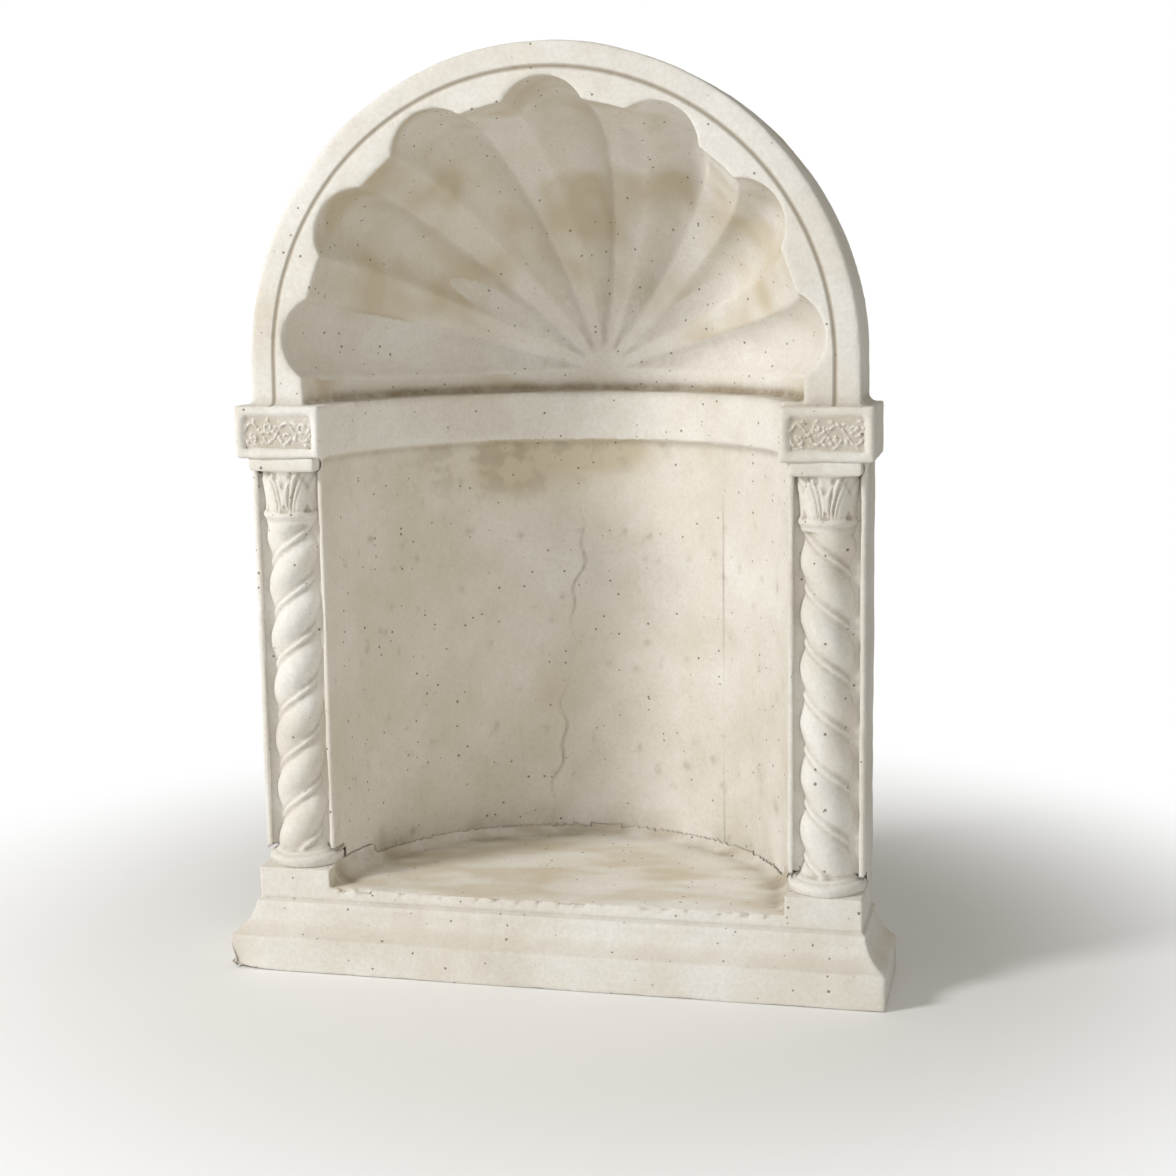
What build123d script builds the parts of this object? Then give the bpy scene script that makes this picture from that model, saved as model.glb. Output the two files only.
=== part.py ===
from build123d import *
import math
import os

# Statue niche of cast stone: a half-round recess under a fluted shell head, framed by two twisted
# columns and a round arch, on a moulded plinth. Millimetres, X to the right, Y into the recess, Z up.
# Pieces are drawn with Y = 0 in the piers' front face and moved back by CENTRE_Y when they are saved.

# Recess
NICHE_R = 229
WALL_T = 38
COURSE_STAND = 6  # string course and blocks stand this far into the recess
FRAME_T = 80  # piers, blocks and arch, front to back
COVE = 12
COVE_BED = 4  # cove is bedded this deep in the floor

# Plinth, from the ground up
SLAB_H = 36
MOULDING_H = 32
STEP_H = 12.5
PEDESTAL_H = 18.5
STEP_FRONT = 20
PLINTH_SIDE = 24  # slab beyond the step at each side
PLINTH_FRONT = 28  # and in front
WORN_EDGE = 3

# Columns
BASE_R = 38
BASE_H = 14
BASE_FILLET_H = 3
SHAFT_R = 28
SHAFT_H = 332
TWIST_LEAD = 104
STARTS = 2
STRAND_R = 21
CORE_R = 22.5
CORD_R = 3.4
ASTRAGAL_R = 31
ASTRAGAL_H = 12
CAPITAL_H = 41
BELL_FOOT_R = 26
BELL_HEAD_R = 31
LEAF_T = 2.5
LEAF_HALF = 12
LEAVES = 4
LEAF_STEP = 50  # degrees from leaf to leaf
ABACUS_H = 13
ABACUS_HALF = 34
LIP = 9  # flat edge of the pier beside the column
SEAT_BEHIND = 8  # piers are cut away to this far behind the column axis beside base and abacus

# Impost blocks
BLOCK_H = 52
BLOCK_SIDE = 8  # beyond the pier's side
PANEL_EDGE = 9
PANEL_DEPTH = 5
PANEL_T = 3

# Arch and shell
STILT = 39  # straight foot of the arch
SHELL_R = 245
ARCH_GROOVE_R = 274
ARCHIVOLT_W = 24
ARCH_FRONT = 4
GROOVE = 2
FLUTES = 7
FLUTE_PITCH = 28  # degrees
FLUTE_SPAN = 17.8  # degrees taken by one flute at the rim
FLUTE_REACH = 20  # flute beyond the ribs' sphere at the rim
POLE_DROP = 17  # flutes meet this far below the arch's centre
SHELL_T = 17

PIER_HALF = NICHE_R + 2 * BASE_R - 1
COLUMN_X = PIER_HALF - BASE_R
COLUMN_Y = BASE_R - STEP_FRONT
CHANNEL_R = math.hypot(PIER_HALF - LIP - COLUMN_X, COLUMN_Y)
SEAT_Y = COLUMN_Y + SEAT_BEHIND
COURSE_R = NICHE_R - COURSE_STAND
BLOCK_HALF = PIER_HALF + BLOCK_SIDE
ARCH_R = ARCH_GROOVE_R + ARCHIVOLT_W
DOME_R = SHELL_R + FLUTE_REACH + SHELL_T
MOULDING_Z = SLAB_H
STEP_Z = MOULDING_Z + MOULDING_H
FLOOR_Z = STEP_Z + STEP_H
BASE_Z = FLOOR_Z + PEDESTAL_H
SHAFT_Z = BASE_Z + BASE_H
ASTRAGAL_Z = SHAFT_Z + SHAFT_H
CAPITAL_Z = ASTRAGAL_Z + ASTRAGAL_H
ABACUS_Z = CAPITAL_Z + CAPITAL_H
BLOCK_Z = ABACUS_Z + ABACUS_H
BLOCK_TOP = BLOCK_Z + BLOCK_H
ARCH_Z = BLOCK_TOP + STILT
PLINTH_HALF = PIER_HALF + PLINTH_SIDE
PLINTH_Y = STEP_FRONT + PLINTH_FRONT
CENTRE_Y = (DOME_R - PLINTH_Y) / 2
SIDES = {"left": -1, "right": 1}
WALLS = ("left", "left_rear", "rear", "right_rear", "right")
COURSES = ("left", "rear", "right")


def slab(x0, x1, y0, y1, z0, z1):
    """Block between two corners."""
    centre = Pos((x0 + x1) / 2, (y0 + y1) / 2, (z0 + z1) / 2)
    return centre * Box(abs(x1 - x0), abs(y1 - y0), abs(z1 - z0))


def drum(radius, z0, z1, x=0, y=0):
    """Upright cylinder."""
    return Pos(x, y, (z0 + z1) / 2) * Cylinder(radius, z1 - z0)


def front_drum(radius, z0, z1):
    """The half of a drum that lies behind the piers' front face."""
    return drum(radius, z0, z1) & slab(-radius, radius, 0, radius, z0, z1)


def rear_ring(inner, outer, z0, z1):
    """Half-round wall behind the frame."""
    ring = drum(outer, z0, z1) - drum(inner, z0, z1)
    return ring & slab(-outer, outer, FRAME_T, outer, z0, z1)


def sector(low, high, plane, depth):
    """Wedge about the plane's normal between two angles in degrees, reaching depth both ways."""
    reach = 2 * (ARCH_R + PLINTH_Y)
    turns = [math.radians(v) for v in (low, (low + high) / 2, high)]
    rim = [(reach * math.cos(t), reach * math.sin(t)) for t in turns]
    return extrude(plane * make_face(Polyline((0, 0), *rim, (0, 0))), depth, both=True)


def turned(edges, z0, side):
    """Solid turned about the column's axis from a half outline."""
    return Pos(side * COLUMN_X, COLUMN_Y, z0) * revolve(Plane.XZ * make_face(edges), Axis.Z)


def plinth_slab():
    body = slab(-PLINTH_HALF, PLINTH_HALF, -PLINTH_Y, FRAME_T, 0, SLAB_H)
    front = [e for e in body.edges() if e.center().Y < FRAME_T - 1 and e.center().Z > 1]
    return fillet(front, WORN_EDGE)


def cyma(face, reach):
    """Hollow sweep with a small round over it, from the slab up to the step."""
    foot = (face + reach - WORN_EDGE, MOULDING_Z)
    turn = (face + 0.16 * reach, MOULDING_Z + 0.74 * MOULDING_H)
    hollow = (face + 0.42 * reach, MOULDING_Z + 0.30 * MOULDING_H)
    swell = (face + 0.10 * reach, MOULDING_Z + 0.93 * MOULDING_H)
    top = (face - 1, STEP_Z)
    return [ThreePointArc(foot, hollow, turn), ThreePointArc(turn, swell, top)], foot, top


def floor_seat(z0, z1):
    """The half-round part of the plinth that the floor takes up."""
    return front_drum(NICHE_R, z0, z1)


def plinth_moulding():
    front, foot, top = cyma(STEP_FRONT, PLINTH_FRONT)
    rest = Polyline(top, (-FRAME_T, STEP_Z), (-FRAME_T, MOULDING_Z), foot)
    from_side = Plane(origin=(0, 0, 0), x_dir=(0, -1, 0), z_dir=(-1, 0, 0))
    lengthwise = extrude(from_side * make_face([*front, *rest.edges()]), PLINTH_HALF, both=True)
    flank, foot, top = cyma(PIER_HALF, PLINTH_SIDE)
    other = [mirror(edge, Plane.YZ) for edge in flank]
    ends = [Line(top, (-top[0], top[1])), Line(foot, (-foot[0], foot[1]))]
    across = extrude(Plane.XZ * make_face([*flank, *other, *ends]), PLINTH_HALF, both=True)
    return (lengthwise & across) - floor_seat(MOULDING_Z, STEP_Z)


def plinth_step():
    return slab(-PIER_HALF, PIER_HALF, -STEP_FRONT, FRAME_T, STEP_Z, FLOOR_Z) - floor_seat(STEP_Z, FLOOR_Z)


def niche_floor():
    return floor_seat(MOULDING_Z, FLOOR_Z - COVE_BED) + front_drum(NICHE_R - COVE, FLOOR_Z - COVE_BED, FLOOR_Z)


def floor_cove():
    """Hollow fillet where wall and floor meet, bedded in the floor."""
    inner, bed = NICHE_R - COVE, FLOOR_Z - COVE_BED
    sag = 0.34 * COVE
    low, high = (inner, FLOOR_Z), (NICHE_R, FLOOR_Z + COVE)
    hollow = ThreePointArc(high, (NICHE_R - sag, FLOOR_Z + sag), low)
    sides = Polyline(low, (inner, bed), (NICHE_R, bed), high)
    return revolve(Plane.XZ * make_face([hollow, *sides.edges()]), Axis.Z, 180)


def inner_cut(radius, z0, z1):
    """Recess between two piers or blocks: square in front of the piers' face, round behind it."""
    return front_drum(radius, z0, z1) + slab(-radius, radius, -PLINTH_Y, 0, z0, z1)


def side_stone(side, radius, half, front, z0, z1):
    """Block of a pier's plan at one side of the recess."""
    return slab(0, side * half, -front, FRAME_T, z0, z1) - inner_cut(radius, z0, z1)


def pedestal(side):
    return side_stone(side, NICHE_R, PIER_HALF, STEP_FRONT, FLOOR_Z, BASE_Z)


def pier(side):
    body = side_stone(side, NICHE_R, PIER_HALF, 0, BASE_Z, BLOCK_Z)
    x = side * COLUMN_X
    body -= drum(CHANNEL_R, SHAFT_Z, ABACUS_Z, x, COLUMN_Y)
    body -= drum(BELL_HEAD_R + LEAF_T + 0.5, CAPITAL_Z, ABACUS_Z, x, COLUMN_Y)
    body -= drum(BASE_R, BASE_Z, SHAFT_Z, x, COLUMN_Y)
    body -= slab(0, side * PIER_HALF, 0, SEAT_Y, BASE_Z, SHAFT_Z)
    body -= slab(x - ABACUS_HALF, x + ABACUS_HALF, 0, COLUMN_Y + ABACUS_HALF, ABACUS_Z, BLOCK_Z)
    return body


def column_base(side):
    """Fat ring with a low fillet over it."""
    roll = BASE_H - BASE_FILLET_H
    rim = BASE_R - roll / 2
    neck = SHAFT_R + 2
    edges = [
        Line((0, 0), (rim, 0)),
        ThreePointArc((rim, 0), (BASE_R, roll / 2), (rim, roll)),
        Line((rim, roll), (neck, roll)),
        Line((neck, roll), (neck, BASE_H)),
        Line((neck, BASE_H), (0, BASE_H)),
        Line((0, BASE_H), (0, 0)),
    ]
    return turned(edges, BASE_Z, side)


def shaft_section():
    """Two fat strands about a core, with a thin cord lying in each valley between them."""
    section = Circle(CORE_R)
    for k in range(STARTS):
        turn = 360 * k / STARTS
        section += Rot(0, 0, turn) * Pos(SHAFT_R - STRAND_R, 0) * Circle(STRAND_R)
        section += Rot(0, 0, turn + 180 / STARTS) * Pos(CORE_R - 1, 0) * Circle(CORD_R)
    return section.face()


def column_shaft(side):
    turns = side * -360 * SHAFT_H / TWIST_LEAD
    shaft = Solid.extrude_linear_with_rotation(shaft_section(), (0, 0, 0), (0, 0, SHAFT_H), turns)
    return Pos(side * COLUMN_X, COLUMN_Y, SHAFT_Z) * shaft


def astragal(side):
    """Square-edged ring over a hollow neck."""
    lip = ASTRAGAL_H / 3
    edges = [
        Line((0, 0), (SHAFT_R, 0)),
        ThreePointArc((SHAFT_R, 0), (SHAFT_R + 0.5, 2 * lip - 3), (ASTRAGAL_R, 2 * lip)),
        Line((ASTRAGAL_R, 2 * lip), (ASTRAGAL_R, ASTRAGAL_H)),
        Line((ASTRAGAL_R, ASTRAGAL_H), (0, ASTRAGAL_H)),
        Line((0, ASTRAGAL_H), (0, 0)),
    ]
    return turned(edges, ASTRAGAL_Z, side)


def bell(extra):
    """Flaring core of the capital, thicker all round by extra."""
    foot, head = BELL_FOOT_R + extra, BELL_HEAD_R + extra
    waist = (foot + 0.25 * (head - foot), 0.55 * CAPITAL_H)
    edges = [
        Line((0, 0), (foot, 0)),
        ThreePointArc((foot, 0), waist, (head, CAPITAL_H)),
        Line((head, CAPITAL_H), (0, CAPITAL_H)),
        Line((0, CAPITAL_H), (0, 0)),
    ]
    return turned(edges, CAPITAL_Z, 1)


def leaf_blade(height):
    """Pointed leaf standing on the capital's foot, cut as a prism towards the front."""
    root = 0.5 * LEAF_HALF
    left = ThreePointArc((-root, 0), (-LEAF_HALF, 0.42 * height), (0, height))
    right = ThreePointArc((root, 0), (LEAF_HALF, 0.42 * height), (0, height))
    return extrude(Plane.XZ * make_face([left, right, Line((-root, 0), (root, 0))]), 2 * BELL_HEAD_R)


def capital(side):
    body = bell(0)
    skin = bell(LEAF_T)
    for k in range(LEAVES):
        turn = LEAF_STEP * (k - (LEAVES - 1) / 2)
        blade = leaf_blade(0.92 * CAPITAL_H)
        body += Pos(COLUMN_X, COLUMN_Y, CAPITAL_Z) * Rot(0, 0, turn) * blade & skin
    return body if side > 0 else mirror(body, Plane.YZ)


def abacus(side):
    x = side * COLUMN_X
    reach = COLUMN_Y + ABACUS_HALF
    plate = slab(x - ABACUS_HALF, x + ABACUS_HALF, COLUMN_Y - ABACUS_HALF, reach, ABACUS_Z, BLOCK_Z)
    under = [e for e in plate.edges() if e.center().Z < ABACUS_Z + 1 and e.center().Y < reach - 1]
    return fillet(under, WORN_EDGE)


def niche_wall(index):
    ring = rear_ring(NICHE_R, NICHE_R + WALL_T, 0, BLOCK_Z)
    step = (180 - 40) / len(WALLS)
    high = 180 if index == 0 else 160 - step * index
    low = 0 if index == len(WALLS) - 1 else 160 - step * (index + 1)
    return ring & sector(low, high, Plane.XY, ARCH_Z)


def string_course(index):
    ring = rear_ring(COURSE_R, DOME_R, BLOCK_Z, BLOCK_TOP)
    step = 180 / len(COURSES)
    return ring & sector(180 - step * (index + 1), 180 - step * index, Plane.XY, ARCH_Z)


def sunk_field(side, depth):
    """Field sunk in a block's face, as far forward as its floor plus depth."""
    x0, x1 = side * (COURSE_R + PANEL_EDGE), side * (BLOCK_HALF - PANEL_EDGE)
    floor_y = PANEL_DEPTH - STEP_FRONT
    return slab(x0, x1, floor_y - depth, floor_y, BLOCK_Z + PANEL_EDGE, BLOCK_TOP - PANEL_EDGE)


def impost_block(side):
    body = side_stone(side, COURSE_R, BLOCK_HALF, STEP_FRONT, BLOCK_Z, BLOCK_TOP)
    body = fillet([e for e in body.edges() if e.center().Y < 1 - STEP_FRONT], WORN_EDGE)
    return body - sunk_field(side, PANEL_DEPTH)


def carved_panel(side):
    return sunk_field(side, PANEL_T)


def arch_plate(radius):
    """Flat round-headed plate as thick as the frame, standing on the blocks."""
    outline = [
        Line((radius, 0), (-radius, 0)),
        Line((-radius, 0), (-radius, STILT)),
        ThreePointArc((-radius, STILT), (0, STILT + radius), (radius, STILT)),
        Line((radius, STILT), (radius, 0)),
    ]
    face = Pos(0, FRAME_T, BLOCK_TOP) * (Plane.XZ * make_face(outline))
    return extrude(face, FRAME_T + ARCH_FRONT)


def front_edges(shape, radius):
    """Edges of the front face that follow the arch line of this radius."""
    front = [e for e in shape.edges() if abs(e.center().Y + ARCH_FRONT) < 0.1]
    upright = [e for e in front if abs(abs((e @ 0.5).X) - radius) < 0.1 and (e @ 0.5).Z < ARCH_Z]
    round_head = [e for e in front if abs((e @ 0.5).Z - ARCH_Z - radius) < 0.1]
    return upright + round_head


def archivolt():
    ring = arch_plate(ARCH_R) - arch_plate(ARCH_GROOVE_R)
    ring = chamfer(front_edges(ring, ARCH_GROOVE_R), GROOVE)
    return fillet(front_edges(ring, ARCH_R), WORN_EDGE)


def round_back(radius):
    """Half-round body with a quarter ball on top, behind the piers' face."""
    slope = radius * math.sin(math.radians(45))
    outline = [
        Line((0, BLOCK_TOP), (radius, BLOCK_TOP)),
        Line((radius, BLOCK_TOP), (radius, ARCH_Z)),
        ThreePointArc((radius, ARCH_Z), (slope, ARCH_Z + slope), (0, ARCH_Z + radius)),
        Line((0, ARCH_Z + radius), (0, BLOCK_TOP)),
    ]
    return revolve(Plane.XZ * make_face(outline), Axis.Z, 180)


def shell_stone():
    """Arch plate and dome together, before the hollow and the flutes are cut."""
    plate = arch_plate(ARCH_GROOVE_R)
    plate = chamfer(front_edges(plate, ARCH_GROOVE_R), GROOVE)
    rear = slab(-DOME_R, DOME_R, FRAME_T, DOME_R + 1, BLOCK_TOP, ARCH_Z + DOME_R)
    return plate + (round_back(DOME_R) & rear)


def shell_hollow():
    """The shell's hollow without its flutes, behind the piers' face and in front of it."""
    return [round_back(SHELL_R), arch_plate(SHELL_R) & slab(-SHELL_R, SHELL_R, -ARCH_FRONT, 0, 0, ARCH_Z + SHELL_R)]


LEAN = math.asin(POLE_DROP / SHELL_R)
POLE = Vector(0, math.cos(LEAN), -math.sin(LEAN))
FAN = Plane(origin=(0, 0, ARCH_Z), x_dir=(1, 0, 0), z_dir=-POLE)


def flute_angle(index):
    return 90 + FLUTE_PITCH * ((FLUTES - 1) / 2 - index)


def flute_horn(index):
    """One flute: a horn that grows from the hinge to the rim along a great circle of the shell."""
    rise = math.radians(flute_angle(index))
    rim = Vector(math.cos(rise), 0, math.sin(rise))
    whole = math.acos(POLE.dot(rim))
    across = (rim - POLE * POLE.dot(rim)).normalized()
    half = math.radians(FLUTE_SPAN / 2)
    chord = SHELL_R * math.sin(half)
    sag = SHELL_R * (1 - math.cos(half)) + FLUTE_REACH
    bore = (chord**2 + sag**2) / (2 * sag)
    rings = []
    for share in (0.06, 0.25, 0.45, 0.65, 0.85, 1):
        turn = whole * share
        grown = math.sin(turn) / math.sin(whole)
        outward = POLE * math.cos(turn) + across * math.sin(turn)
        onward = across * math.cos(turn) - POLE * math.sin(turn)
        spot = Vector(0, 0, ARCH_Z) + outward * (SHELL_R + (FLUTE_REACH - bore) * grown)
        rings.append(Plane(origin=spot, x_dir=outward, z_dir=onward) * Circle(bore * grown))
    return loft(rings) + extrude(rings[-1], 3 * ARCH_FRONT)


def shell_flute(index, stone, hollow, horns):
    """One stone of the shell: the sector about one flute."""
    middle = flute_angle(index)
    low = -90 if index == FLUTES - 1 else middle - FLUTE_PITCH / 2
    high = 270 if index == 0 else middle + FLUTE_PITCH / 2
    part = stone & sector(low, high, FAN, DOME_R + PLINTH_Y)
    for cut in [*hollow, horns[index]]:
        part -= cut
    return part


def all_pieces():
    pieces = {
        "plinth_slab": plinth_slab(),
        "plinth_moulding": plinth_moulding(),
        "plinth_step": plinth_step(),
        "niche_floor": niche_floor(),
        "floor_cove": floor_cove(),
        "archivolt": archivolt(),
    }
    for index, name in enumerate(WALLS):
        pieces[f"niche_wall_{name}"] = niche_wall(index)
    for index, name in enumerate(COURSES):
        pieces[f"string_course_{name}"] = string_course(index)
    for name, side in SIDES.items():
        pieces[f"pedestal_{name}"] = pedestal(side)
        pieces[f"pier_{name}"] = pier(side)
        pieces[f"column_base_{name}"] = column_base(side)
        pieces[f"column_shaft_{name}"] = column_shaft(side)
        pieces[f"astragal_{name}"] = astragal(side)
        pieces[f"capital_{name}"] = capital(side)
        pieces[f"abacus_{name}"] = abacus(side)
        pieces[f"impost_block_{name}"] = impost_block(side)
        pieces[f"carved_panel_{name}"] = carved_panel(side)
    stone, hollow = shell_stone(), shell_hollow()
    horns = [flute_horn(index) for index in range(FLUTES)]
    for index in range(FLUTES):
        pieces[f"shell_flute_{index + 1}"] = shell_flute(index, stone, hollow, horns)
    return pieces


os.makedirs("parts", exist_ok=True)
for node, shape in all_pieces().items():
    export_step(Pos(0, -CENTRE_Y, 0) * shape, f"parts/{node}.step")
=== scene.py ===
import math

import bmesh
import bpy
import numpy as np
from mathutils import Matrix, Vector


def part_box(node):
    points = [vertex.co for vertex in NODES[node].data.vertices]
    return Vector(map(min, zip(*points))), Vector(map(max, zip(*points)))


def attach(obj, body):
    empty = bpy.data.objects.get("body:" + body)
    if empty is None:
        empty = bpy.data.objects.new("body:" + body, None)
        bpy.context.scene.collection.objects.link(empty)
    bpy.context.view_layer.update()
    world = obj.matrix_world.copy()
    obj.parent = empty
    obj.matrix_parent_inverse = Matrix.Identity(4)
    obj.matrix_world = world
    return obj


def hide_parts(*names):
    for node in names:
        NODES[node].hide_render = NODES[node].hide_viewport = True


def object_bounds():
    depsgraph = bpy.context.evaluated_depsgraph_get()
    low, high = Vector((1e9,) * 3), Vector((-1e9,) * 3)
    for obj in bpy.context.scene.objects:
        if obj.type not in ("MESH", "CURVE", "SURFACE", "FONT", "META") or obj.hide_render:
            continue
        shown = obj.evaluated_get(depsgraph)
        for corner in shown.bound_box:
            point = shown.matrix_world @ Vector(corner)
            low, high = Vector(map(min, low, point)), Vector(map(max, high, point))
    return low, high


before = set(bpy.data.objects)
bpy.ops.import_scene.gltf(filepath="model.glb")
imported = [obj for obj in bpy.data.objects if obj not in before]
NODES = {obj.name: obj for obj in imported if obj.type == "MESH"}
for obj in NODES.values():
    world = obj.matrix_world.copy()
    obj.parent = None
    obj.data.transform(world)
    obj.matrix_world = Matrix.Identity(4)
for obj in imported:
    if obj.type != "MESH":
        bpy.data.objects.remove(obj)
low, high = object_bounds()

bpy.context.scene.view_settings.view_transform = "Standard"

# Plinth and floor
# The foot of the casting: a square-edged slab, a hollow sweep up to a thin step, the half-round floor
# and the two pedestals. The slab's left corner is worn round and the floor's lip is pitted.
FACE_Y = -0.117  # front face of the piers
FLOOR_R = 0.229
FLOOR_TOP = 0.0795
STEP_FOOT = 0.0675
SLAB_ARRIS = 0.0405
ARCH_CENTRE_Z = 0.602
ARCH_LINE_R = 0.2738
STONE_DARK = (0.70, 0.665, 0.59)
STONE_MID = (0.80, 0.775, 0.725)
STONE_PALE = (0.87, 0.855, 0.825)
# Ochre: staining, and painted shade in hollows, in the flutes and on the recess's shaded left.
OCHRE_WASH_AND_SHADE = (0.60, 0.52, 0.385)
# Brown: grime, and painted shade in creases, corners and sunk fields.
BROWN_DIRT_AND_SHADE = (0.27, 0.215, 0.14)
HOLE_SHADE = (0.16, 0.125, 0.08)
# Painted shade for the groove that follows the arch line.
GROOVE_SHADE = (0.30, 0.245, 0.17)
HOLES_PER_METRE = 120.0


def stone_look(name, holes, arch_line=False):
    """Fine cement and marble dust, left matt: pale clouds, small air holes, grime and ochre staining, the
    ochre and the grime also carrying painted shade.
    """
    mat = bpy.data.materials.new(name)
    mat.use_nodes = True
    tree = mat.node_tree
    node, link = tree.nodes, tree.links
    shade = node["Principled BSDF"]
    shade.inputs["Roughness"].default_value = 0.86
    shade.inputs["Specular IOR Level"].default_value = 0.28
    place = node.new("ShaderNodeTexCoord").outputs["Object"]

    def feed(socket, source):
        if isinstance(source, (int, float)):
            socket.default_value = source
        elif isinstance(source, tuple):
            socket.default_value = (*source, 1)
        else:
            link.new(source, socket)

    def noise(scale, detail, rough):
        n = node.new("ShaderNodeTexNoise")
        n.inputs["Scale"].default_value = scale
        n.inputs["Detail"].default_value = detail
        n.inputs["Roughness"].default_value = rough
        link.new(place, n.inputs["Vector"])
        return n.outputs["Fac"]

    def ramp(value, *stops):
        r = node.new("ShaderNodeValToRGB")
        first, last = r.color_ramp.elements
        first.position, first.color = stops[0][0], (*stops[0][1], 1)
        last.position, last.color = stops[-1][0], (*stops[-1][1], 1)
        for at, colour in stops[1:-1]:
            r.color_ramp.elements.new(at).color = (*colour, 1)
        link.new(value, r.inputs["Fac"])
        return r.outputs["Color"]

    def mix(kind, amount, a, b):
        m = node.new("ShaderNodeMix")
        m.data_type = "RGBA"
        m.blend_type = kind
        for slot, source in ((0, amount), (6, a), (7, b)):
            feed(m.inputs[slot], source)
        return m.outputs[2]

    def maths(kind, a, b):
        m = node.new("ShaderNodeMath")
        m.operation = kind
        feed(m.inputs[0], a)
        feed(m.inputs[1], b)
        return m.outputs[0]

    def between(value, start, end):
        m = node.new("ShaderNodeMapRange")
        m.inputs["From Min"].default_value = start
        m.inputs["From Max"].default_value = end
        link.new(value, m.inputs["Value"])
        return m.outputs["Result"]

    def read_mark(mark):
        a = node.new("ShaderNodeAttribute")
        a.attribute_name = mark
        return a.outputs["Fac"]

    clouds = ramp(noise(7, 6, 0.62), (0.3, STONE_DARK), (0.48, STONE_MID), (0.66, STONE_PALE))
    grain = ramp(noise(260, 3, 0.6), (0.3, (0.90, 0.89, 0.87)), (0.7, (1.0, 1.0, 1.0)))
    # The ochre mark lays stain and painted shade together over the stone colour.
    washed_and_shaded = mix("MIX", read_mark("wash_and_shade"), mix("MULTIPLY", 1.0, clouds, grain), OCHRE_WASH_AND_SHADE)
    patches = ramp(noise(30, 5, 0.7), (0.25, (0.35, 0.35, 0.35)), (0.6, (1.0, 1.0, 1.0)))
    # The dark mark lays grime and painted shade in creases and recesses over that.
    colour = mix("MIX", maths("MULTIPLY", read_mark("dirt_and_shade"), patches), washed_and_shaded, BROWN_DIRT_AND_SHADE)

    cells = node.new("ShaderNodeTexVoronoi")
    cells.inputs["Scale"].default_value = holes
    cells.inputs["Randomness"].default_value = 1.0
    link.new(place, cells.inputs["Vector"])
    pick = node.new("ShaderNodeSeparateColor")
    link.new(cells.outputs["Color"], pick.inputs["Color"])
    size = maths("MULTIPLY", maths("SUBTRACT", pick.outputs["Red"], 0.52), 0.42)
    hole = between(maths("SUBTRACT", size, cells.outputs["Distance"]), 0.0, 0.05)
    colour = mix("MIX", maths("MULTIPLY", hole, 0.8), colour, HOLE_SHADE)

    rough = maths("ADD", noise(150, 6, 0.7), maths("MULTIPLY", noise(40, 4, 0.5), 1.5))
    height = maths("SUBTRACT", maths("MULTIPLY", rough, 0.32), hole)
    if arch_line:
        xyz = node.new("ShaderNodeSeparateXYZ")
        link.new(place, xyz.inputs["Vector"])
        over = maths("MAXIMUM", maths("SUBTRACT", xyz.outputs["Z"], ARCH_CENTRE_Z), 0.0)
        square = maths("ADD", maths("POWER", xyz.outputs["X"], 2.0), maths("POWER", over, 2.0))
        off_line = maths("ABSOLUTE", maths("SUBTRACT", maths("SQRT", square, 0.0), ARCH_LINE_R), 0.0)
        front = maths("LESS_THAN", xyz.outputs["Y"], FACE_Y + 0.004)
        groove = maths("MULTIPLY", between(off_line, 0.0030, 0.0004), front)
        # Painted shade: the arch line's groove is only a bump, so its shade is painted dark along it.
        colour = mix("MIX", maths("MULTIPLY", groove, 0.8), colour, GROOVE_SHADE)
        height = maths("SUBTRACT", height, maths("MULTIPLY", groove, 2.4))
    link.new(colour, shade.inputs["Base Color"])
    bump = node.new("ShaderNodeBump")
    bump.inputs["Strength"].default_value = 0.5
    bump.inputs["Distance"].default_value = 0.0011
    link.new(height, bump.inputs["Height"])
    link.new(bump.outputs["Normal"], shade.inputs["Normal"])
    return mat


def recast(name, nodes, cell, passes):
    """Copies of the named solids recast as one close mesh with softened arrises, as arrays."""
    points, faces, start = [], [], 0
    for n in nodes:
        bm = bmesh.new()
        bm.from_mesh(NODES[n].data)
        bmesh.ops.remove_doubles(bm, verts=bm.verts, dist=2e-6)
        bmesh.ops.recalc_face_normals(bm, faces=bm.faces)
        bm.normal_update()
        points.append(np.array([v.co + 0.00025 * v.normal for v in bm.verts]))
        faces += [[start + v.index for v in f.verts] for f in bm.faces]
        start += len(bm.verts)
        bm.free()
    mesh = bpy.data.meshes.new(name)
    mesh.from_pydata(np.vstack(points).tolist(), [], faces)
    obj = bpy.data.objects.new(name, mesh)
    bpy.context.scene.collection.objects.link(obj)
    cast = obj.modifiers.new("cast", "REMESH")
    cast.mode = "VOXEL"
    cast.voxel_size = cell
    soft = obj.modifiers.new("soft", "SMOOTH")
    soft.factor = 0.5
    soft.iterations = passes
    done = bpy.data.meshes.new_from_object(obj.evaluated_get(bpy.context.evaluated_depsgraph_get()))
    bpy.data.objects.remove(obj)
    co = np.empty(len(done.vertices) * 3)
    done.vertices.foreach_get("co", co)
    loops = np.empty(len(done.loops), int)
    done.loops.foreach_get("vertex_index", loops)
    bpy.data.meshes.remove(done)
    return co.reshape(-1, 3), loops.reshape(-1, 4)


def face_normals(co, quads):
    across = np.cross(co[quads[:, 2]] - co[quads[:, 0]], co[quads[:, 3]] - co[quads[:, 1]])
    total = np.zeros_like(co)
    for k in range(4):
        np.add.at(total, quads[:, k], across)
    return total / np.maximum(np.linalg.norm(total, axis=1, keepdims=True), 1e-12)


def spread(value, quads, passes):
    """Evens a value out over neighbouring points."""
    near = np.bincount(quads.ravel(), minlength=len(value)).astype(float)
    for _ in range(passes):
        mean = value[quads].mean(axis=1)
        total = np.zeros_like(value)
        for k in range(4):
            np.add.at(total, quads[:, k], mean)
        value = total / near[:, None]
    return value


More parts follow.
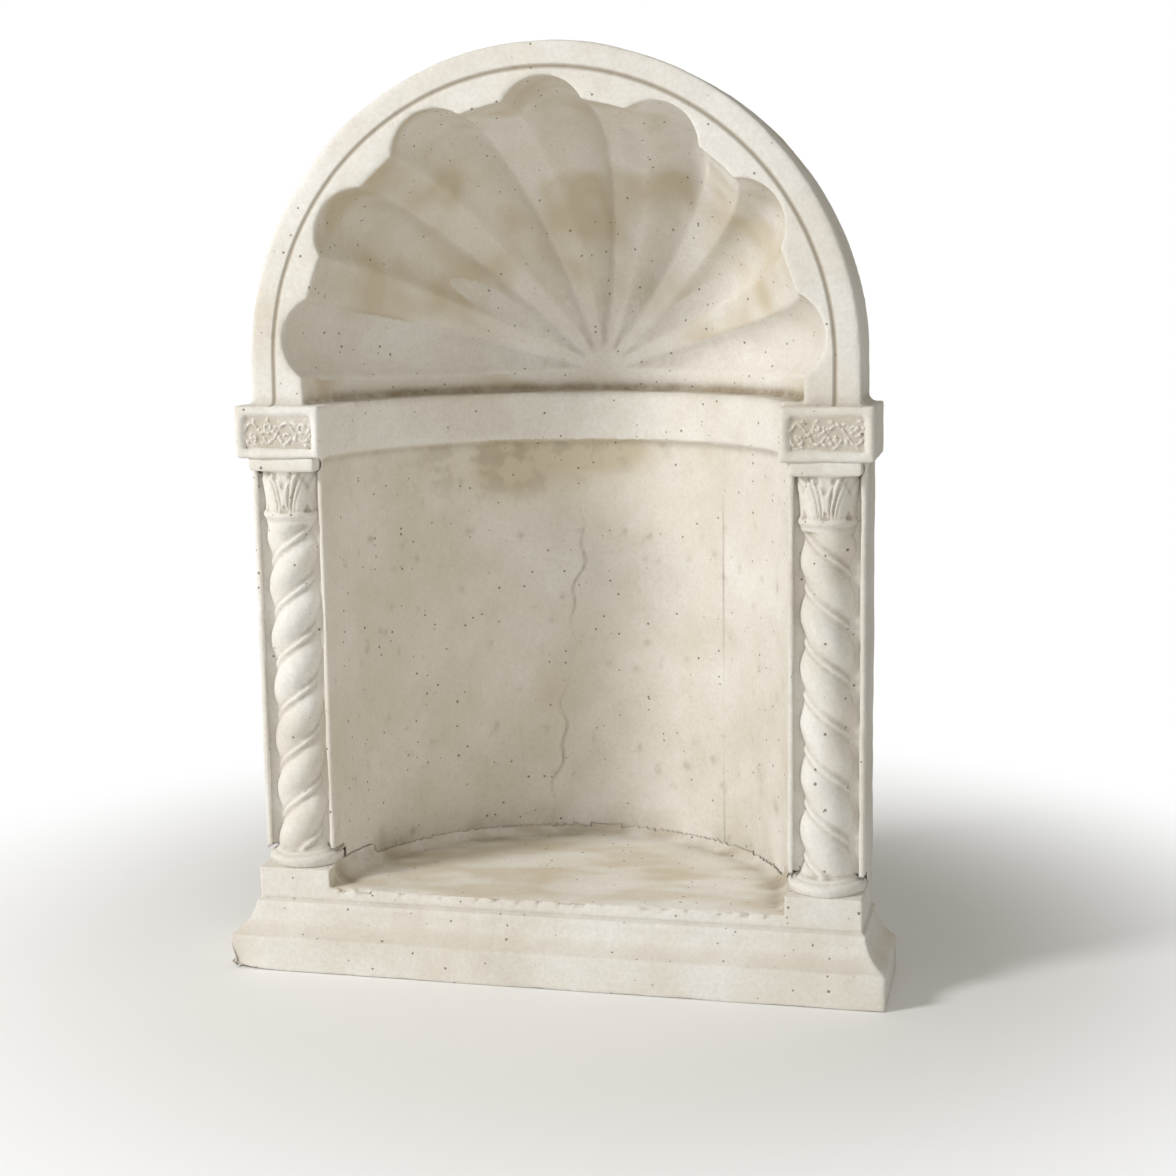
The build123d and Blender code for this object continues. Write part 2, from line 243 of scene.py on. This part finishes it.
def hollowness(co, quads, passes):
    """Positive in grooves and corners, negative on edges, in metres."""
    return ((spread(co, quads, passes) - co) * face_normals(co, quads)).sum(axis=1)


def lumps(co, size, seed):
    """Smooth random field of about -1 to 1 over the points, made of a few summed waves."""
    rng = np.random.default_rng(seed)
    total = np.zeros(len(co))
    for k in range(3):
        for _ in range(9):
            way = rng.normal(size=3)
            way *= 2 * math.pi * 1.9**k * rng.uniform(0.6, 1.4) / (size * np.linalg.norm(way))
            total += np.sin(co @ way + rng.uniform(0, 6.28)) / (3.2 * 1.6**k)
    return total


def band(value, middle, width):
    return np.exp(-(((value - middle) / width) ** 2))


def weather(co, quads, bite, seed):
    """Wears the cast surface by half a millimetre, and more along its arrises."""
    edge = np.clip(-hollowness(co, quads, 4) / 0.0016, 0, 1)
    wear = 0.00035 + 0.0003 * (1 + lumps(co, 0.09, seed))
    wear += bite * edge * np.clip(lumps(co, 0.05, seed + 1) + 0.3, 0, 2)
    return co - face_normals(co, quads) * wear[:, None]


def keep_in_box(co):
    return np.clip(co, np.array(low) + 1e-5, np.array(high) - 1e-5)


def make_piece(name, co, quads, normals, marks, nodes, look):
    used = np.unique(quads)
    turn = np.full(len(co), -1)
    turn[used] = np.arange(len(used))
    mesh = bpy.data.meshes.new(name)
    mesh.from_pydata(co[used].tolist(), [], turn[quads].tolist())
    mesh.shade_smooth()
    mesh.normals_split_custom_set_from_vertices(normals[used].tolist())
    for key, value in marks.items():
        mesh.attributes.new(key, "FLOAT", "POINT").data.foreach_set("value", value[used].astype(np.float32))
    mesh.materials.append(look)
    obj = bpy.data.objects.new(name, mesh)
    bpy.context.scene.collection.objects.link(obj)
    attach(obj, "root")
    if nodes:
        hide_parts(*nodes)
    return obj


def thin_out(obj, share):
    """Fewer triangles where nothing is carved and nobody looks closely."""
    less = obj.modifiers.new("less", "DECIMATE")
    less.ratio = share
    mesh = bpy.data.meshes.new_from_object(obj.evaluated_get(bpy.context.evaluated_depsgraph_get()))
    obj.modifiers.clear()
    obj.data = mesh


cream = stone_look("cast_stone", HOLES_PER_METRE)
plinth_nodes = ["plinth_slab", "plinth_moulding", "plinth_step", "niche_floor", "floor_cove"]
plinth_nodes += ["pedestal_left", "pedestal_right"]
plinth, quads = recast("plinth", plinth_nodes, 0.0021, 1)
plinth = weather(plinth, quads, 0.0004, 51)
x, y, z = plinth.T
reach = np.hypot(x, y - FACE_Y)
corner = band(x, -0.328, 0.022) * band(z, 0.004, 0.02) * (y < FACE_Y - 0.02)
sweep = band(z, SLAB_ARRIS, 0.0065) * ((y < FACE_Y - 0.03) | (np.abs(x) > 0.31))
lip = band(z, FLOOR_TOP, 0.004) * band(y, FACE_Y - 0.02, 0.004) * (np.abs(x) < FLOOR_R)
chips = np.clip(lumps(plinth, 0.018, 57) - 0.25, 0, 1)
damp = np.clip(lumps(plinth * np.array([0.8, 1.3, 1.0]), 0.12, 61) + 0.35, 0, 1.2)
under_step = (np.abs(z - STEP_FOOT) < 0.0022) & ((y < FACE_Y - 0.017) | (np.abs(x) > 0.301))
wear = 0.006 * corner + lip * (0.0006 + 0.0022 * chips * (1 + (x < -0.16))) + 0.0012 * under_step
plinth = keep_in_box(plinth - face_normals(plinth, quads) * wear[:, None])
normals = face_normals(plinth, quads)
# Painted shade from here: hollow and wide darken creases and broad hollows where shade falls.
hollow = np.clip(hollowness(plinth, quads, 3) / 0.0010, 0, 1)
wide = np.clip(hollowness(plinth, quads, 16) / 0.006, 0, 1)
on_floor = (z > 0.079) & (reach < 0.23) & (y > FACE_Y - 0.021)
rim = on_floor * band(reach, 0.219, 0.016) * (y > FACE_Y)
# Ochre: stain and painted shade at the foot of the sweep, stain on the damp floor, painted shade in broad
# hollows.
wash_and_shade = 0.20 * sweep * (0.7 + 0.3 * damp) + 0.16 * np.clip(lumps(plinth, 0.15, 63), 0, 1)
wash_and_shade += 0.42 * on_floor * damp + 0.12 * wide
# Darkening: painted shade in creases and hollows, grime in the lip's chips, darker round the back of the
# floor by the wall's foot.
dirt_and_shade = 0.42 * hollow + 0.12 * wide + 0.35 * lip * chips + 0.55 * rim * (0.5 + 0.5 * damp)
marks = {"wash_and_shade": np.clip(wash_and_shade, 0, 0.8), "dirt_and_shade": np.clip(dirt_and_shade, 0, 0.9)}
centre = plinth[quads].mean(axis=1)
hidden = (centre[:, 2] < 0.003) | (centre[:, 1] > FACE_Y + 0.078) & (centre[:, 2] < 0.0775)
make_piece("cast_plinth", plinth, quads[~hidden], normals, marks, plinth_nodes, cream)
under = make_piece("cast_plinth_under", plinth, quads[hidden], normals, marks, [], cream)
thin_out(under, 0.12)

# Walls, blocks, shell and arch
# One pour with the plinth: the mould's seams don't show inside it, and its arrises came out soft.
# A hair crack wanders up the wall, and a straight mould line stands to the right of it.
COURSE_FOOT = 0.5105
COURSE_TOP = 0.5625
FRAME_BACK = 0.0795  # behind the piers' face
NOOK_R = 0.0375
NOOK_DEPTH = 0.009
MOULD_LINE_TURN = 53  # degrees round the wall from its right end


def blob(co, x, z, wide, tall):
    return band(co[:, 0], x, wide) * band(co[:, 2], z, tall)


arch_stone = stone_look("cast_stone_arch", HOLES_PER_METRE, arch_line=True)
wall_nodes = [n for n in NODES if n.startswith("niche_wall")]
pier_nodes = ["pier_left", "pier_right"]
course_nodes = [n for n in NODES if n.startswith(("string_course", "impost_block"))]
shell_nodes = [n for n in NODES if n.startswith("shell_flute")] + ["archivolt"]
body, quads = recast("body", wall_nodes + pier_nodes + course_nodes + shell_nodes, 0.0025, 2)
x, y, z = body.T
for side, sign in (("left", -1), ("right", 1)):
    axis = np.array(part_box(f"column_shaft_{side}")).mean(axis=0)
    off = np.hypot(*(body[:, :2] - axis[:2]).T)
    nook = (off < NOOK_R) & (z > 0.1135) & (z < 0.4975)
    nook &= (y > FACE_Y + NOOK_DEPTH) & (y < FACE_Y + 0.06)
    body[nook, 1] = FACE_Y + NOOK_DEPTH + 0.02 * (y[nook] - FACE_Y - NOOK_DEPTH)
    foot = (z > 0.0990) & (z < 0.1122) & (np.abs(y - FACE_Y - 0.026) < 0.002) & (sign * x > 0.228)
    body[foot, 1] = FACE_Y + 0.001
body = weather(body, quads, 0.0008, 3)
depth = y - FACE_Y
inside = (np.hypot(x, depth) < 0.245) & (depth > 0)
wall = inside & (z > 0.08) & (z < 0.512)
turn = np.degrees(np.arctan2(depth, x))
drift = 93 + 12 * np.clip((0.5 - z) / 0.42, 0, 1) + 0.9 * np.sin(z * 61) + 0.7 * np.sin(z * 143 + 1)
crack = wall * band(turn * 4.0, drift * 4.0, 1.5) * np.clip(0.5 + 0.5 * np.sin(z * 33 + 2), 0.08, 1)
seam = wall * band(turn * 4.0, MOULD_LINE_TURN * 4.0, 1.4) * (z < 0.46)
seam = seam * np.clip(0.5 + 0.5 * np.sin(z * 21), 0.12, 1)
dents = np.clip(lumps(body, 0.028, 71) - 1.45, 0, 1) * wall
wear = 0.0007 * crack + 0.0006 * seam - 0.0006 * dents
body = keep_in_box(body - face_normals(body, quads) * wear[:, None])
normals = face_normals(body, quads)
x, y, z = body.T
# Painted shade from here: hollow and wide darken creases, corners and broad hollows where shade falls.
hollow = np.clip(hollowness(body, quads, 3) / 0.0011, 0, 1)
wide = np.clip(hollowness(body, quads, 18) / 0.006, 0, 1)
streaks = 0.5 + 0.5 * lumps(body * np.array([1.0, 1.0, 0.35]), 0.12, 11)
under_course = blob(body, -0.11, 0.487, 0.085, 0.036) + 0.75 * blob(body, 0.02, 0.50, 0.09, 0.02)
patches = blob(body, -0.07, 0.24, 0.07, 0.04) + 0.8 * blob(body, 0.04, 0.30, 0.10, 0.035)
patches += 0.6 * blob(body, 0.15, 0.42, 0.05, 0.09) + 0.6 * blob(body, 0.12, 0.20, 0.04, 0.05)
foot = wall * band(z, 0.086, 0.022)
shell_part = inside & (z > 0.565)
# The flute hollows take ochre as stain and painted shade together.
in_flutes = shell_part * np.clip(hollowness(body, quads, 26) / 0.005, 0, 1)
wash_and_shade = wall * (0.95 * under_course + 0.5 * patches) + 0.42 * in_flutes
wash_and_shade += shell_part * 0.42 * np.clip(lumps(body, 0.14, 21) + 0.35, 0, 1.4)
wash_and_shade = wash_and_shade * (0.45 + 0.75 * streaks) + 0.14 * np.clip(lumps(body, 0.2, 8), 0, 1)
# Painted shade: more ochre towards the left, where the recess is turned from the lamp.
wash_and_shade += 0.20 * (shell_part | wall) * np.clip(0.4 - x / 0.3, 0, 1)
# Painted shadow: a dark line on the ledge where the shell springs from behind the string course.
ledge = inside * band(z, 0.5655, 0.006) * (depth > 0.06)
# Darkening: painted shade in creases and hollows, the crack and the mould line, blemishes, darker along the
# wall's foot and under the left of the string course.
dirt_and_shade = 0.6 * hollow + 0.22 * wide + 0.5 * foot * streaks + 0.42 * crack + 0.4 * seam
dirt_and_shade += 0.6 * ledge + 0.35 * dents
dirt_and_shade += wall * 0.35 * np.clip(under_course, 0, 1) * np.clip(lumps(body, 0.03, 77) + 0.2, 0, 1)
marks = {"wash_and_shade": np.clip(wash_and_shade, 0, 0.85), "dirt_and_shade": np.clip(dirt_and_shade, 0, 0.9)}
centre = body[quads].mean(axis=1)
over = np.clip(centre[:, 2] - ARCH_CENTRE_Z, 0, 1)
reach = np.hypot(np.hypot(centre[:, 0], centre[:, 1] - FACE_Y), over)
behind = (centre[:, 1] > FACE_Y + FRAME_BACK) & (reach > 0.262)
head = ~behind & (centre[:, 2] > COURSE_TOP)
course = ~(behind | head) & (centre[:, 2] > COURSE_FOOT)
piers = ~(behind | head | course) & (np.abs(centre[:, 0]) > 0.2285) & (centre[:, 1] < FACE_Y + FRAME_BACK)
recess = ~(behind | head | course | piers)
make_piece("cast_recess", body, quads[recess], normals, marks, wall_nodes, cream)
make_piece("cast_piers", body, quads[piers], normals, marks, pier_nodes, cream)
make_piece("cast_course", body, quads[course], normals, marks, course_nodes, cream)
make_piece("cast_shell_head", body, quads[head], normals, marks, shell_nodes, arch_stone)
thin_out(make_piece("cast_back", body, quads[behind], normals, marks, [], cream), 0.3)

# Columns
# Each column is cast in the same stone: a fat ring, a two-strand twisted shaft with a cord in each
# valley, a square-edged astragal, and a bell of ribbed leaves under a plain abacus.
BELL_FOOT = 0.457
BELL_HEIGHT = 0.041
RIB_PITCH = 17.0  # degrees round the bell
LEAF_TURN = 27
END_SEATING = 0.0018  # abacus and ring are pressed this far into the stone that they meet
COLUMN_HOLES = 105.0
for side, sign in (("left", -1), ("right", 1)):
    kinds = ("column_base", "column_shaft", "astragal", "capital", "abacus")
    parts = [f"{kind}_{side}" for kind in kinds]
    col, quads = recast(f"column_{side}", parts, 0.0015, 2)
    away = col - np.array(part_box(f"column_shaft_{side}")).mean(axis=0)
    rise = np.clip((col[:, 2] - BELL_FOOT) / BELL_HEIGHT, 0, 1)
    in_bell = (col[:, 2] > 0.4575) & (col[:, 2] < 0.4965) & (away[:, 1] < 0.02)
    fan = np.degrees(np.arctan2(away[:, 0], -away[:, 1])) / (0.42 + 0.58 * rise**1.6)
    ribs = np.cos(2 * math.pi * (fan - 25) / RIB_PITCH)
    near_leaf = np.clip(1.35 - np.abs(np.abs(fan) - LEAF_TURN) / 22, 0, 1)
    ends = np.clip(rise * 9, 0, 1) * np.clip((1 - rise) * 7, 0, 1)
    carve = in_bell * near_leaf * (0.0011 - 0.0011 * ribs) * ends
    rub = 0.0003 + 0.0003 * (1 + lumps(col, 0.05, 31 + sign))
    rub += 0.0005 * np.clip(-hollowness(col, quads, 3) / 0.0008, 0, 1)
    col = col - face_normals(col, quads) * (rub + carve)[:, None]
    col[:, 2] += np.where(col[:, 2] > 0.508, END_SEATING, 0) - np.where(col[:, 2] < 0.1015, END_SEATING, 0)
    # Painted shade: groove and broad darken the twist's valleys and the hollows round the bell and ring.
    groove = np.clip(hollowness(col, quads, 4) / 0.0007, 0, 1)
    broad = np.clip(hollowness(col, quads, 22) / 0.004, 0, 1)
    marks = {
        "wash_and_shade": 0.16 * np.clip(lumps(col, 0.12, 41 + sign), 0, 1) + 0.12 * broad,
        "dirt_and_shade": np.clip(0.55 * groove + 0.25 * broad, 0, 0.9),
    }
    look = stone_look(f"column_stone_{side}", COLUMN_HOLES)
    make_piece(f"cast_column_{side}", col, quads, face_normals(col, quads), marks, parts, look)

# Carved panels
# A scroll of foliage fills the sunk field of each impost block: one stem that waves along the panel,
# curled offshoots in its bays and small round leaves between. It is worn, and broken in places.
BAYS = 4
ACROSS, UP = 130, 64  # points along and up a panel
STEM_HALF = 0.0016
CURL_R = 0.0068
BUD_R = 0.0021
LEAF_R = 0.0019
for side, sign in (("left", -1), ("right", 1)):
    (x0, y0, z0), (x1, y1, z1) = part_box(f"carved_panel_{side}")
    long, tall = x1 - x0, z1 - z0
    gx, gz = np.meshgrid(np.linspace(0, 1, ACROSS), np.linspace(0, 1, UP))
    u, v = gx * long, gz * tall
    bay = long / BAYS
    relief = band(v, tall * (0.5 + 0.27 * np.sin(math.pi * u / bay)), STEM_HALF)
    for k in range(BAYS):
        hand, middle = (1, 0.36) if k % 2 == 0 else (-1, 0.64)
        du, dv = u - (k + 0.5) * bay, v - tall * middle
        for t in np.linspace(0, 1, 60):
            a = hand * (1.4 + 7.2 * t) + math.pi / 2
            r = CURL_R * (1 - 0.82 * t)
            off = np.hypot(du - r * math.cos(a), dv - r * math.sin(a))
            relief = np.maximum(relief, 0.95 * band(off, 0, STEM_HALF - 0.0004 * t))
        relief = np.maximum(relief, band(np.hypot(du, dv), 0, BUD_R))
        for a in np.linspace(0, 2 * math.pi, 6)[:-1] + 0.4 * k:
            off = np.hypot((du - 0.0102 * math.cos(a)) / 1.3, v - tall / 2 - 0.0125 * math.sin(a))
            relief = np.maximum(relief, 0.8 * band(off, 0, LEAF_R))
    margin = np.minimum(np.minimum(gx, 1 - gx) * long, np.minimum(gz, 1 - gz) * tall)
    flat = np.stack([u, v, 0 * u], axis=-1).reshape(-1, 3)
    rub = 0.62 + 0.5 * lumps(flat, 0.006, 91 + sign).reshape(u.shape)
    relief *= np.clip(margin / 0.0015, 0, 1) * np.clip(rub, 0.15, 1)
    deep = y1 - 0.0004 - (y1 - y0 - 0.0006) * relief
    field = np.stack([x0 + u, deep, z0 + v], axis=-1).reshape(-1, 3)
    at = np.arange(ACROSS * UP).reshape(UP, ACROSS)
    quads = np.stack([at[:-1, :-1], at[:-1, 1:], at[1:, 1:], at[1:, :-1]], axis=-1).reshape(-1, 4)
    # Painted shade: the sunk field between the stem and leaves is darkened where shade falls.
    sunk = np.clip(1 - 1.6 * relief.ravel(), 0, 1)
    marks = {"wash_and_shade": 0.25 * sunk, "dirt_and_shade": 0.42 * sunk}
    panel = [f"carved_panel_{side}"]
    make_piece(f"foliage_{side}", field, quads, face_normals(field, quads), marks, panel, cream)

# Floor and backdrop
# The object stands alone on a plain pale floor that keeps its shadow close by. Further out, and in the
# backdrop, the camera sees plain white.
WHITE = (1, 1, 1, 1)
FADE_FROM, FADE_TO = 0.35, 0.95
bpy.ops.mesh.primitive_plane_add(size=14, location=(0, 0, 0))
floor = bpy.context.object
floor.name = "studio_floor"
pale = bpy.data.materials.new("studio_white")
pale.use_nodes = True
node, link = pale.node_tree.nodes, pale.node_tree.links
matt = node["Principled BSDF"]
matt.inputs["Base Color"].default_value = (0.93, 0.93, 0.93, 1)
matt.inputs["Roughness"].default_value = 0.9
glow = node.new("ShaderNodeEmission")
glow.inputs["Color"].default_value = WHITE
glow.inputs["Strength"].default_value = 1.0
place = node.new("ShaderNodeTexCoord")
far = node.new("ShaderNodeVectorMath")
far.operation = "LENGTH"
link.new(place.outputs["Object"], far.inputs[0])
fade = node.new("ShaderNodeMapRange")
fade.interpolation_type = "SMOOTHSTEP"
fade.inputs["From Min"].default_value = FADE_FROM
fade.inputs["From Max"].default_value = FADE_TO
link.new(far.outputs["Value"], fade.inputs["Value"])
eye = node.new("ShaderNodeLightPath")
both = node.new("ShaderNodeMath")
both.operation = "MULTIPLY"
link.new(fade.outputs["Result"], both.inputs[0])
link.new(eye.outputs["Is Camera Ray"], both.inputs[1])
blend = node.new("ShaderNodeMixShader")
link.new(both.outputs[0], blend.inputs["Fac"])
link.new(matt.outputs["BSDF"], blend.inputs[1])
link.new(glow.outputs["Emission"], blend.inputs[2])
link.new(blend.outputs["Shader"], node["Material Output"].inputs["Surface"])
floor.data.materials.append(pale)

world = bpy.data.worlds.new("studio")
bpy.context.scene.world = world
world.use_nodes = True
node, link = world.node_tree.nodes, world.node_tree.links
sky = node["Background"]
sky.inputs["Color"].default_value = (1.0, 0.96, 0.86, 1)
sky.inputs["Strength"].default_value = 0.34
white = node.new("ShaderNodeBackground")
white.inputs["Color"].default_value = WHITE
white.inputs["Strength"].default_value = 1.0
eye = node.new("ShaderNodeLightPath")
either = node.new("ShaderNodeMixShader")
link.new(eye.outputs["Is Camera Ray"], either.inputs["Fac"])
link.new(sky.outputs["Background"], either.inputs[1])
link.new(white.outputs["Background"], either.inputs[2])
link.new(either.outputs["Shader"], node["World Output"].inputs["Surface"])

# Lamps and camera
# A soft lamp at the upper left gives the photograph's shading, and a weak one at the right opens the
# shadows. The camera stands to the right, level with the shell, and looks slightly down.


def lamp(name, place, target, size, watts, colour):
    data = bpy.data.lights.new(name, "AREA")
    data.shape = "DISK"
    data.size = size
    data.energy = watts
    data.color = colour
    obj = bpy.data.objects.new(name, data)
    bpy.context.scene.collection.objects.link(obj)
    obj.location = place
    obj.rotation_euler = (Vector(target) - Vector(place)).to_track_quat("-Z", "Y").to_euler()


lamp("window_left", (-2.5, -2.1, 2.0), (0, 0, 0.5), 0.9, 88, (1.0, 0.99, 0.975))
lamp("fill_right", (1.2, -2.4, 1.1), (0, 0, 0.4), 1.6, 9, (0.98, 0.99, 1.0))

CAMERA_AT = (0.477, FACE_Y - 1.842, 0.683)
yaw, pitch, roll = 0.2342, 0.1546, -0.0148
lens = bpy.data.cameras.new("camera")
lens.sensor_width = 36
lens.lens = 61.2
camera = bpy.data.objects.new("camera", lens)
bpy.context.scene.collection.objects.link(camera)
ahead = Vector((-math.sin(yaw) * math.cos(pitch), math.cos(yaw) * math.cos(pitch), -math.sin(pitch)))
level = Vector((math.cos(yaw), math.sin(yaw), 0))
upward = level.cross(ahead)
right = math.cos(roll) * level + math.sin(roll) * upward
top = math.cos(roll) * upward - math.sin(roll) * level
camera.matrix_world = Matrix.Translation(CAMERA_AT) @ Matrix((right, top, -ahead)).transposed().to_4x4()
bpy.context.scene.camera = camera
